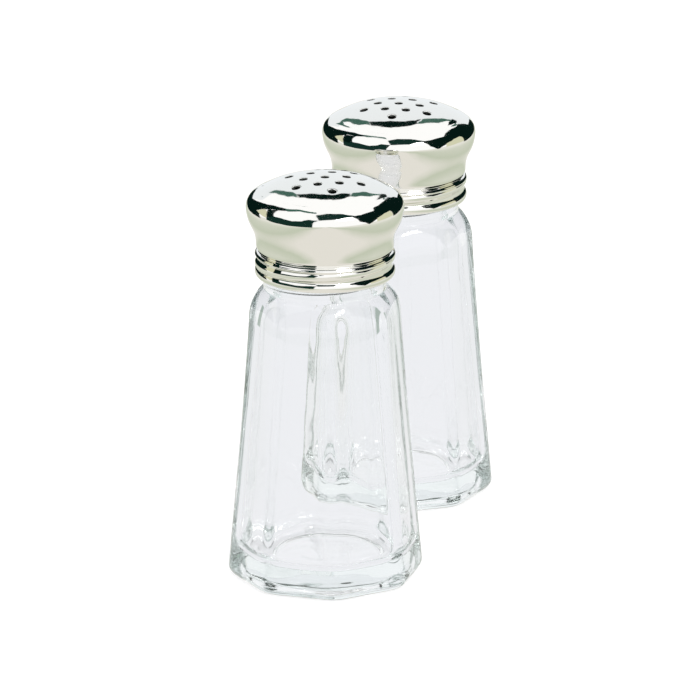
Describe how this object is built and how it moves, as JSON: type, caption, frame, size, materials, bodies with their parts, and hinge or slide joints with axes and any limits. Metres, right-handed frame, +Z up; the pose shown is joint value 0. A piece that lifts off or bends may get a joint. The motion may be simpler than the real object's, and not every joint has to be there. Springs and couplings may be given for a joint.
{
  "type": "salt and pepper shaker set",
  "caption": "Glass table shakers for salt and pepper, each with a flared panelled bottle and a domed, perforated metal screw cap.",
  "frame": {"origin": "on the table, midway between the two shakers' axes", "axes": "+X runs from the salt shaker to the pepper shaker, +Z is up, +Y completes the right-handed frame"},
  "size_m": [0.1137, 0.0478, 0.1016],
  "materials": {
    "glass": "clear fire-polished pressed glass with a faint green tint in its thick edges",
    "chrome": "polished chrome plate on stamped sheet",
    "seal": "matt, slightly translucent"
  },
  "bodies": {
    "salt_bottle": {"salt_bottle": "glass"},
    "salt_seal_ring": {"salt_seal_ring": "seal"},
    "salt_cap": {"salt_cap": "chrome"},
    "pepper_bottle": {"pepper_bottle": "glass"},
    "pepper_seal_ring": {"pepper_seal_ring": "seal"},
    "pepper_cap": {"pepper_cap": "chrome"}
  },
  "joints": [
    {"name": "salt_cap_lift", "type": "slide", "parent": "salt_bottle", "child": "salt_seal_ring", "axis": [0, 0, 1], "range_m": [0, 0.008]},
    {"name": "salt_cap_turn", "type": "hinge", "parent": "salt_seal_ring", "child": "salt_cap", "pos_m": [-0.0335, 0, 0.08], "axis": [0, 0, 1], "range_deg": [0, 720]},
    {"name": "pepper_cap_lift", "type": "slide", "parent": "pepper_bottle", "child": "pepper_seal_ring", "axis": [0, 0, 1], "range_m": [0, 0.008]},
    {"name": "pepper_cap_turn", "type": "hinge", "parent": "pepper_seal_ring", "child": "pepper_cap", "pos_m": [0.0335, 0, 0.08], "axis": [0, 0, 1], "range_deg": [0, 720]},
    {"name": "pepper_pick_up", "type": "slide", "parent": "salt_bottle", "child": "pepper_bottle", "axis": [0, 0, 1], "range_m": [0, 0.15]}
  ],
  "couplings": [
    {"joint": "salt_cap_lift", "follows": "salt_cap_turn", "m_per_rad": 0.00063662},
    {"joint": "pepper_cap_lift", "follows": "pepper_cap_turn", "m_per_rad": 0.00063662}
  ]
}
